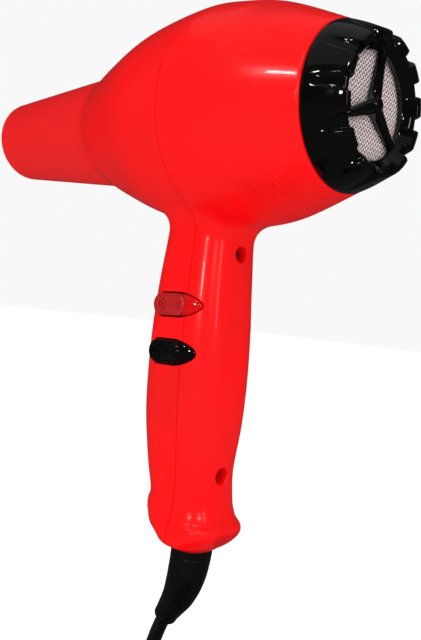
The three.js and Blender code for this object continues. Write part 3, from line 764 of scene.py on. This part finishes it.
def behind_parting(shift):
    """A block that holds all behind the line where the front and rear shells part."""
    line = [(0, 80), (0, -50), (3.4, -155), (4.2, -205), (140, -205), (140, 80)]
    return prism_y("behind", [(x + shift, z) for x, z in line], -80, 80)


def screw_hole(down, seat, edge):
    """A recess whose mouth is dished into the handle's back."""
    hole = turned("recess", [
        (seat, 0), (seat, 3.1), (edge - 2, 3.2), (edge - 1, 3.35), (edge - 0.3, 3.6),
        (edge + 0.3, 4.0), (edge + 2, 5.4), (edge + 2, 0),
    ], 64)
    hole.data.transform(Matrix.Translation((0, 0, -down)))
    return hole


def switch_window(down, width, gap=0.5):
    """A rocker's opening, with a gap all round."""
    window = prism_y("window", rocker_outline(width / 2, gap), -40, -8)
    turn = Matrix.Rotation(-SWITCH_TILT, 4, "Y")
    window.data.transform(Matrix.Translation((SWITCH_X, 0, -down)) @ turn)
    return window


def true_normals(thing):
    """Gives the drawn skin the exact slope of its surface, and every cut face its own."""
    mesh = thing.data
    smooth(thing, 40)
    p = np.zeros(len(mesh.vertices) * 3)
    mesh.vertices.foreach_get("co", p)
    p = p.reshape(-1, 3)
    exact = body_slope(p)
    exact /= np.maximum(np.linalg.norm(exact, axis=1, keepdims=True), 1e-9)
    near = np.abs(body_distance(p)) < 0.06
    corner = np.zeros(len(mesh.loops), np.int32)
    mesh.loops.foreach_get("vertex_index", corner)
    sizes = np.zeros(len(mesh.polygons), np.int32)
    mesh.polygons.foreach_get("loop_total", sizes)
    flat = np.zeros(len(mesh.polygons) * 3)
    mesh.polygons.foreach_get("normal", flat)
    flat = np.repeat(flat.reshape(-1, 3), sizes, axis=0)
    shaded = np.zeros(len(mesh.loops) * 3)
    mesh.corner_normals.foreach_get("vector", shaded)
    shaded = shaded.reshape(-1, 3)
    skin = near[corner] & ((exact[corner] * flat).sum(1) > 0.8)
    mesh.normals_split_custom_set(np.where(skin[:, None], exact[corner], shaded).tolist())
    return thing


def mouth_lip():
    """The rounded edge of the nozzle's mouth."""
    outer = float(np.interp(TIP_X + LIP_DEPTH, BARREL_X, BARREL_R))
    inner = TIP_RADIUS - MOUTH_WALL
    return turned("mouth_lip", [
        (TIP_X + LIP_DEPTH, inner), (TIP_X + 0.7, inner + 0.05), (TIP_X + 0.2, inner + 0.35),
        (TIP_X, inner + 0.9), (TIP_X, outer - 0.9), (TIP_X + 0.2, outer - 0.4),
        (TIP_X + 0.6, outer - 0.1), (TIP_X + LIP_DEPTH, outer),
    ], 192)


def rear_rim():
    """The rounded edge of the bulb, round the intake cap."""
    outer = float(np.interp(REAR_X - RIM_DEPTH, BARREL_X, BARREL_R))
    inner = REAR_RADIUS - WALL + 0.4
    return turned("rear_rim", [
        (REAR_X - RIM_DEPTH, inner), (REAR_X - RIM_DEPTH, outer), (REAR_X - 0.5, outer - 0.22),
        (REAR_X - 0.15, outer - 0.5), (REAR_X, outer - 0.95), (REAR_X, inner + 0.5),
        (REAR_X - 0.2, inner),
    ], 192)


def make_shells():
    """One hollow moulding with its bosses, holes and windows, parted into front and rear shells."""
    mass = body_mass()
    bosses = [cylinder_x("boss", -8, 30, BOSS_RADIUS, down) for down, _, _ in SCREWS]
    bosses = [carved(boss, mass, "INTERSECT", keep=True) for boss in bosses]
    carved(mass, body_hollow())
    for boss in bosses:
        carved(mass, boss, "UNION")
    for screw in SCREWS:
        carved(mass, screw_hole(*screw))
    for down, width in SWITCHES.values():
        carved(mass, switch_window(down, width))
    relief_hole = turned("hole", [(0, 0), (0, 8.3), (14, 8.3), (14, 0)], 64)
    turn = Matrix.Rotation(math.pi / 2, 4, "Y")
    relief_hole.data.transform(Matrix.Translation((RELIEF_X, 0, -176)) @ turn)
    carved(mass, relief_hole)
    front_end, rear_end = TIP_X + LIP_DEPTH, REAR_X - RIM_DEPTH
    limits = prism_y("limits", [
        (front_end, 80), (rear_end, 80), (rear_end, -HEEL_DROP), (front_end, -HEEL_DROP),
    ], -80, 80)
    carved(mass, limits, "INTERSECT")
    rear = copied(mass, "rear_shell_skin")
    carved(mass, behind_parting(-SEAM_HALF))
    carved(rear, behind_parting(SEAM_HALF), "INTERSECT")
    front = merged("front_shell_skin", true_normals(mass), smooth(mouth_lip(), 50))
    back = merged("rear_shell_skin", true_normals(rear), smooth(rear_rim(), 50))
    finished(front, "body", "red_gloss", RED, "front_shell")
    finished(back, "body", "red_gloss", RED, "rear_shell")


make_shells()


# ---- intake cap --------------------------------------------------------------------------------

# The ring's section as (x, radius), through the middle of a lug and through a gap between two.
LUG_OUTLINE = [
    (53, 27.6), (53, 29), (57.8, 29), (57.8, 31.1), (58.0, 31.55), (58.5, 31.6), (60.5, 30.95),
    (62.5, 30.25), (64.5, 29.5), (66.5, 28.65), (68.5, 27.75), (70.3, 26.95), (71.8, 26.3),
    (72.8, 25.7), (73.3, 25.0), (73.4, 24.2), (73.3, 23.3), (72.8, 22.6), (71.6, 21.8),
    (70.2, 20.8), (69.2, 20.0), (68.7, 19.5), (68.1, 19.3), (66.8, 19.5), (66, 20), (66, 24.6),
    (60, 25.4),
]
NOTCH_OUTLINE = [
    (53, 27.6), (53, 29), (57.8, 29), (57.8, 31.1), (58.0, 31.55), (58.5, 31.6), (60.5, 30.95),
    (62.5, 30.0), (64.5, 28.9), (66.5, 27.7), (68.3, 26.6), (69.8, 25.6), (70.8, 24.9),
    (71.4, 24.3), (71.6, 23.8), (71.6, 23.2), (71.4, 22.6), (71.1, 22.1), (70.5, 21.4),
    (69.8, 20.6), (69.1, 20.0), (68.7, 19.5), (68.1, 19.3), (66.8, 19.5), (66, 20), (66, 24.6),
    (60, 25.4),
]
LUGS = 12
GUARD_ANGLES = [math.radians(83 + 120 * i) for i in range(3)]
GUARD_FOOT = 66.3
FIRST_LUG = math.radians(12)


def cap_ring():
    """A turned ring whose rim breaks into lugs, with a flute running down from every gap."""
    columns = LUGS * 48
    pitch = 2 * math.pi / LUGS
    angles = np.arange(columns) * 2 * math.pi / columns
    off = np.abs(((angles - FIRST_LUG) % pitch) - pitch / 2)
    flute_top, flute_rows = 6, 7
    rings = []
    for row, (lug, notch) in enumerate(zip(LUG_OUTLINE, NOTCH_OUTLINE)):
        reach = np.clip((row - flute_top) / flute_rows, 0, 1)
        half = math.radians(0.4 + 5.4 * reach)
        soft = math.radians(3.4 - 2.1 * reach)
        share = np.clip(1 - (off - half) / soft, 0, 1)
        share = share * share * (3 - 2 * share)
        x = lug[0] + (notch[0] - lug[0]) * share
        r = lug[1] + (notch[1] - lug[1]) * share
        rings.append(np.stack([x, r * np.cos(angles), r * np.sin(angles)], axis=1))
    return skinned("cap_ring", rings, loop=True)


def guard_arm(angle):
    """A crowned arm from the hub to the ring, widening a little at both ends."""
    out = np.array([0, math.cos(angle), math.sin(angle)])
    side = np.array([0, -math.sin(angle), math.cos(angle)])
    along = np.array([1.0, 0, 0])
    rings = []
    for radius, half, top in ((0.5, 2.7, 70.2), (5, 2.6, 69.9), (11, 2.1, 69.4), (17, 1.7, 69.1),
                              (19.5, 1.6, 69.1), (21.4, 2.2, 69.0)):
        section = [
            (-half, GUARD_FOOT), (-half, top - 1.5), (-0.82 * half, top - 0.9),
            (-0.3 * half, top - 0.1), (0, top), (0.3 * half, top - 0.1), (0.82 * half, top - 0.9),
            (half, top - 1.5), (half, GUARD_FOOT),
        ]
        rings.append([out * radius + side * s + along * x for s, x in section])
    return skinned("guard_arm", rings)


def make_cap():
    cap = cap_ring()
    for angle in GUARD_ANGLES:
        carved(cap, guard_arm(angle), "UNION")
    hub = turned("guard_hub", [
        (GUARD_FOOT, 0), (GUARD_FOOT, 3.5), (68.8, 3.4), (69.5, 3.2), (70.0, 2.8), (70.5, 2.2),
        (70.9, 1.4), (71.1, 0.7), (71.15, 0),
    ], 64)
    carved(cap, hub, "UNION")
    finished(smooth(cap, 42), "intake_cap", "black_gloss", BLACK, "rear_cap")


make_cap()


# ---- filter mesh: a plain weave of wires, cut round --------------------------------------------

FILTER_X = 65.1


class Weave:
    """A geometry tree that lays two families of waved wires across each other on a round frame."""

    def __init__(self):
        self.tree = bpy.data.node_groups.new("woven_disc", "GeometryNodeTree")
        face = self.tree.interface
        face.new_socket("Geometry", in_out="INPUT", socket_type="NodeSocketGeometry")
        for name in ("Pitch", "Radius", "Wire Radius", "Sway"):
            face.new_socket(name, in_out="INPUT", socket_type="NodeSocketFloat")
        face.new_socket("Wire", in_out="INPUT", socket_type="NodeSocketMaterial")
        face.new_socket("Geometry", in_out="OUTPUT", socket_type="NodeSocketGeometry")
        self.given = self.node("NodeGroupInput")
        self.result = self.node("NodeGroupOutput")

    def node(self, kind, **links):
        made = self.tree.nodes.new(kind)
        for name, value in links.items():
            self.feed(made.inputs[name.replace("_", " ")], value)
        return made

    def feed(self, socket, value):
        if isinstance(value, bpy.types.NodeSocket):
            self.tree.links.new(value, socket)
        else:
            socket.default_value = value

    def maths(self, operation, a, b=0.0):
        made = self.tree.nodes.new("ShaderNodeMath")
        made.operation = operation
        self.feed(made.inputs[0], a)
        self.feed(made.inputs[1], b)
        return made.outputs[0]

    def vector(self, x=0.0, y=0.0, z=0.0):
        made = self.tree.nodes.new("ShaderNodeCombineXYZ")
        for socket, value in zip(made.inputs, (x, y, z)):
            self.feed(socket, value)
        return made.outputs[0]

    def place(self):
        here = self.tree.nodes.new("GeometryNodeInputPosition")
        parts = self.tree.nodes.new("ShaderNodeSeparateXYZ")
        self.tree.links.new(here.outputs[0], parts.inputs[0])
        return parts.outputs[0], parts.outputs[1]

    def family(self, along_x):
        """Straight wires of chord length, side by side, then waved over and under the others."""
        pitch, radius = self.given.outputs["Pitch"], self.given.outputs["Radius"]
        half_count = self.maths("FLOOR", self.maths("DIVIDE", radius, pitch))
        count = self.maths("MULTIPLY", half_count, 2.0)
        first = self.maths("MULTIPLY", self.maths("MULTIPLY", half_count, pitch), -1.0)
        if along_x:
            first = self.maths("ADD", first, self.maths("MULTIPLY", pitch, 0.5))
        start = self.vector(y=first) if along_x else self.vector(x=first)
        step = self.vector(y=pitch) if along_x else self.vector(x=pitch)
        row = self.node("GeometryNodeMeshLine", Count=count, Start_Location=start, Offset=step)
        line = self.node("GeometryNodeCurvePrimitiveLine")
        line.inputs["Start"].default_value = (-1, 0, 0) if along_x else (0, -1, 0)
        line.inputs["End"].default_value = (1, 0, 0) if along_x else (0, 1, 0)
        x, y = self.place()
        off = y if along_x else x
        square = self.maths("SUBTRACT", self.maths("MULTIPLY", radius, radius),
                            self.maths("MULTIPLY", off, off))
        chord = self.maths("SQRT", self.maths("MAXIMUM", square, 1.0))
        scale = self.vector(chord, 1.0, 1.0) if along_x else self.vector(1.0, chord, 1.0)
        wires = self.node("GeometryNodeInstanceOnPoints", Points=row.outputs[0],
                          Instance=line.outputs[0], Scale=scale)
        real = self.node("GeometryNodeRealizeInstances", Geometry=wires.outputs[0])
        fine = self.node("GeometryNodeResampleCurve", Curve=real.outputs[0])
        fine.mode = "LENGTH"
        self.feed(fine.inputs["Length"], self.maths("DIVIDE", pitch, 4.0))
        x, y = self.place()
        turn = self.maths("DIVIDE", math.pi, pitch)
        wave = self.maths("MULTIPLY", self.maths("COSINE", self.maths("MULTIPLY", x, turn)),
                          self.maths("SINE", self.maths("MULTIPLY", y, turn)))
        lift = self.maths("MULTIPLY", wave, self.given.outputs["Sway"])
        if along_x:
            lift = self.maths("MULTIPLY", lift, -1.0)
        waved = self.node("GeometryNodeSetPosition", Geometry=fine.outputs[0],
                          Offset=self.vector(z=lift))
        return waved.outputs[0]

    def build(self):
        both = self.node("GeometryNodeJoinGeometry")
        for along_x in (True, False):
            self.tree.links.new(self.family(along_x), both.inputs[0])
        ring = self.node("GeometryNodeCurvePrimitiveCircle",
                         Radius=self.given.outputs["Wire Radius"])
        ring.inputs["Resolution"].default_value = 6
        solid = self.node("GeometryNodeCurveToMesh", Curve=both.outputs[0],
                          Profile_Curve=ring.outputs[0])
        solid.inputs["Fill Caps"].default_value = True
        real = self.node("GeometryNodeRealizeInstances", Geometry=solid.outputs[0])
        coat = self.node("GeometryNodeSetMaterial", Geometry=real.outputs[0],
                         Material=self.given.outputs["Wire"])
        self.tree.links.new(coat.outputs[0], self.result.inputs[0])
        return self.tree


def make_filter_mesh():
    """The woven disc behind the guard, its wires at 45 degrees to the handle."""
    thing = new_object("filter_weave", [(0, 0, 0)], [])
    step = thing.modifiers.new("weave", "NODES")
    step.node_group = Weave().build()
    sockets = {item.name: item.identifier for item in step.node_group.interface.items_tree
               if item.in_out == "INPUT"}
    sizes = {"Pitch": 1.35, "Radius": 23.4, "Wire Radius": 0.36, "Sway": 0.32, "Wire": FILTER_WIRE}
    for name, value in sizes.items():
        step[sockets[name]] = value
    settled(thing)
    lean = Matrix.Rotation(math.radians(45), 4, "X")
    stand = Matrix.Rotation(math.pi / 2, 4, "Y")
    thing.data.transform(Matrix.Translation((FILTER_X, 0, 0)) @ lean @ stand)
    thing.data.polygons.foreach_set("use_smooth", [True] * len(thing.data.polygons))
    finished(thing, "intake_cap", "filter_steel", FILTER_WIRE, "filter_mesh")


make_filter_mesh()


# ---- rockers -----------------------------------------------------------------------------------

PAD_END = PAD_LENGTH - SWITCH_HALF
PAD_MIDDLE = PAD_LENGTH / 2 - SWITCH_HALF
RING_AT = 5.2


def crowned(name, outline, reach, foot, top):
    """A block with a soft upper edge, whose top follows the given height."""
    rings = []
    for inset, sink in ((0, None), (0, 1.2), (0.1, 0.75), (0.3, 0.4), (0.6, 0.15), (1, 0.04),
                        (1.6, 0), (2.4, 0), (3.2, 0), (4.2, 0), (reach[1] - 0.02, 0)):
        x, z = (outline * (1 - inset / np.array(reach))).T
        y = np.full(len(x), foot) if sink is None else top(x, z) + sink
        rings.append(np.stack([x, y, z], axis=1))
    return healed(skinned(name, rings), 0.03)


def make_rocker(name, material, slot):
    """A thumb pad with a ring mark in a shallow recess, and beyond it a lower crowned nose."""
    down, width = SWITCHES[name]
    half = width / 2

    def nose_top(x, z):
        share = np.clip((x - PAD_END) / (SWITCH_HALF - PAD_END), 0, 1)
        return SWITCH_FACE_Y + 1.0 + 3.4 * share ** 1.25 + 1.2 * (z / half) ** 2

    def pad_top(x, z):
        return np.full(len(x), SWITCH_FACE_Y)

    block = crowned(name + "_nose", rocker_outline(half), (SWITCH_HALF, half), -12.6, nose_top)
    pad_reach = (PAD_LENGTH / 2 - 0.15, half - 0.15)
    pad = crowned(name + "_pad", stadium(*pad_reach), pad_reach, -13.6, pad_top)
    pad.data.transform(Matrix.Translation((PAD_MIDDLE, 0, 0)))
    carved(block, pad, "UNION")
    rings = []
    for inset, y in ((0.35, 0.65), (0.1, 0.5), (0, 0), (0, -2)):
        outline = stadium(pad_reach[0] - 0.85 - inset, pad_reach[1] - 0.85 - inset)
        face = np.full(len(outline), SWITCH_FACE_Y + y)
        rings.append(np.stack([outline[:, 0] + PAD_MIDDLE, face, outline[:, 1]], axis=1))
    carved(block, skinned("recess", rings))
    ring = turned("ring", [(0, 1.25), (0, 2.35), (0.7, 2.2), (0.85, 1.85), (0.7, 1.4)], 32)
    dot = turned("dot", [(0, 0), (0, 0.75), (0.5, 0.6), (0.65, 0)], 24)
    stand = Matrix.Rotation(-math.pi / 2, 4, "Z")
    place = Matrix.Translation((RING_AT - SWITCH_HALF, SWITCH_FACE_Y + 0.72, 0))
    for mark in (ring, dot):
        mark.data.transform(place @ stand)
    bars = []
    for x, z in ((10.6, 0), (14.6, 0.7), (14.6, -0.7)):
        bar = prism_y("bar", stadium(1.1, 0.28, 8), SWITCH_FACE_Y + 0.3, SWITCH_FACE_Y + 0.75)
        bar.data.transform(Matrix.Translation((x - SWITCH_HALF, 0, z)))
        bars.append(bar)
    whole = smooth(merged(name + "_moulding", block, ring, dot, *bars), 34)
    turn = Matrix.Rotation(-SWITCH_TILT, 4, "Y")
    whole.data.transform(Matrix.Translation((SWITCH_X, 0, -down)) @ turn)
    finished(whole, name, slot, material, name)


make_rocker("heat_rocker", HEAT_RED, "red_gloss")
make_rocker("speed_rocker", BLACK, "black_gloss")


# ---- strain relief -----------------------------------------------------------------------------

FLEX_SLOTS = 10


def make_strain_relief():
    """A bent tapering sleeve with a collar near its top, a row of flex slots and a rounded lip."""
    line = catmull([
        (RELIEF_X, 176), (RELIEF_X, 181.2), (RELIEF_X, 184.3), (2.5, 189.5), (1.6, 196.5), (0, 203),
        (-2.3, 209), (-5.2, 214), (-7.6, 218), (-9.2, 221),
    ], 6)
    radii = [
        (176, 8), (182, 8), (184, 8.2), (184.3, 8.85), (184.8, 9.05), (187.6, 9.05), (187.9, 8.8),
        (188.2, 8.8), (188.5, 9), (196.5, 8.7), (203, 8.1), (209, 7.2), (214, 6.2), (218, 5.5),
        (218.6, 5.4), (218.9, 5.15), (219.1, 5.15), (219.4, 5.4), (220.4, 5.3), (220.8, 5),
        (221, 4.4),
    ]
    downs = sorted(set(np.round(np.concatenate([line[:, 1], [d for d, _ in radii]]), 3)))
    xs = np.interp(downs, line[:, 1], line[:, 0])
    radius = np.interp(downs, [d for d, _ in radii], [r for _, r in radii])
    angles = np.linspace(0, 2 * np.pi, 64, endpoint=False)
    eased = np.gradient(xs, downs)
    eased = np.convolve(np.pad(eased, 3, mode="edge"), np.ones(7) / 7, "valid")
    rings = []
    for x, down, r, lean in zip(xs, downs, radius, eased):
        tilt = math.atan(-lean)
        across = r * np.cos(angles)
        rings.append(np.stack([
            x + across * math.cos(tilt), r * np.sin(angles), -down - across * math.sin(tilt),
        ], axis=1))
    sleeve = skinned("relief_sleeve", rings)
    out = Vector((-0.72, -0.69, 0))
    for down in np.linspace(190.5, 208, FLEX_SLOTS):
        slot = prism_y("slot", [(-1, -0.45), (1, -0.45), (1, 0.45), (-1, 0.45)], -1, 1)
        middle = Vector((float(np.interp(down, line[:, 1], line[:, 0])), 0, -down))
        reach = float(np.interp(down, [d for d, _ in radii], [r for _, r in radii]))
        turn = Matrix.Rotation(math.atan2(out.y, out.x) + math.pi / 2, 4, "Z")
        slot.data.transform(Matrix.Translation(middle + out * reach) @ turn)
        carved(sleeve, slot)
    smooth(sleeve, 50)
    finished(sleeve, "body", "black_rubber", RUBBER, "strain_relief")


make_strain_relief()


# ---- floor and light ---------------------------------------------------------------------------

def make_floor():
    """A wide pale disc under the coil, which looks darker in reflections."""
    sides = 96
    angles = np.linspace(0, 2 * np.pi, sides, endpoint=False)
    level = BARREL_LEVEL - FLOOR_DROP / 1000
    corners = [(4 * math.cos(a), 4 * math.sin(a), level) for a in angles]
    floor = new_object("floor", corners, [tuple(range(sides))])
    f = Finish("pale_floor")
    f.colour((0.98, 0.98, 0.98), (0.95, 0.95, 0.95), f.noise(3, 3))
    f.roughness(f.ramp(f.noise(40, 3), 0.3, 0.7, 0.75, 0.9))
    f.set(Specular_IOR_Level=0.05, Emission_Color=(1, 1, 1, 1), Emission_Strength=0.13)
    shade = f.nodes.new("ShaderNodeBsdfDiffuse")
    shade.inputs["Color"].default_value = (0.05, 0.05, 0.05, 1)
    rays = f.nodes.new("ShaderNodeLightPath")
    seen = f.nodes.new("ShaderNodeMixShader")
    f.links.new(rays.outputs["Is Glossy Ray"], seen.inputs["Fac"])
    f.links.new(f.surface.outputs["BSDF"], seen.inputs[1])
    f.links.new(shade.outputs["BSDF"], seen.inputs[2])
    f.links.new(seen.outputs["Shader"], f.nodes["Material Output"].inputs["Surface"])
    floor.data.materials.append(f.material)


def soft_light(name, at, aim, width, height, power):
    lamp = bpy.data.lights.new(name, "AREA")
    lamp.shape = "RECTANGLE"
    lamp.size = width
    lamp.size_y = height
    lamp.energy = power
    thing = bpy.data.objects.new(name, lamp)
    thing.location = at
    thing.rotation_euler = (Vector(aim) - Vector(at)).to_track_quat("-Z", "Y").to_euler()
    bpy.context.scene.collection.objects.link(thing)


def make_world():
    """White to look at but dark in reflections, as in a studio with black flags round the table."""
    world = bpy.data.worlds.new("studio")
    world.use_nodes = True
    tree, links = world.node_tree.nodes, world.node_tree.links
    backdrop = tree["Background"]
    backdrop.inputs["Color"].default_value = (1, 1, 1, 1)
    rays = tree.new("ShaderNodeLightPath")
    seen = tree.new("ShaderNodeMix")
    seen.inputs["A"].default_value = 0.96
    seen.inputs["B"].default_value = 0.94
    links.new(rays.outputs["Is Camera Ray"], seen.inputs["Factor"])
    mirrored = tree.new("ShaderNodeMix")
    mirrored.inputs["B"].default_value = 0.03
    links.new(rays.outputs["Is Glossy Ray"], mirrored.inputs["Factor"])
    links.new(seen.outputs["Result"], mirrored.inputs["A"])
    links.new(mirrored.outputs["Result"], backdrop.inputs["Strength"])
    bpy.context.scene.world = world
    bpy.context.scene.view_settings.view_transform = "Standard"


def light_room():
    make_world()
    soft_light("overhead_softbox", (0.1, -0.2, 1.6), (0, 0, 0.05), 2.4, 2.4, 3)
    soft_light("left_fill", (-1.6, -1.6, 0.9), (0, 0, 0.05), 2.2, 2.2, 0.6)
    soft_light("right_strip", (1.0, -0.25, 0.35), (0, 0, 0.05), 0.05, 0.5, 0.6)
    soft_light("small_key", (0.39, -1.03, 0.22), (0, 0, 0), 0.07, 0.07, 0.9)
    soft_light("small_lamp_left", (0.1, -0.9, 0.6), (0, 0, 0), 0.05, 0.05, 0.8)
    soft_light("small_lamp_right", (0.85, -0.6, 0.35), (0, 0, 0), 0.05, 0.05, 0.8)
    soft_light("small_lamp_high", (0.5, -0.7, 0.9), (0, 0, 0), 0.05, 0.05, 1.0)


make_floor()
light_room()
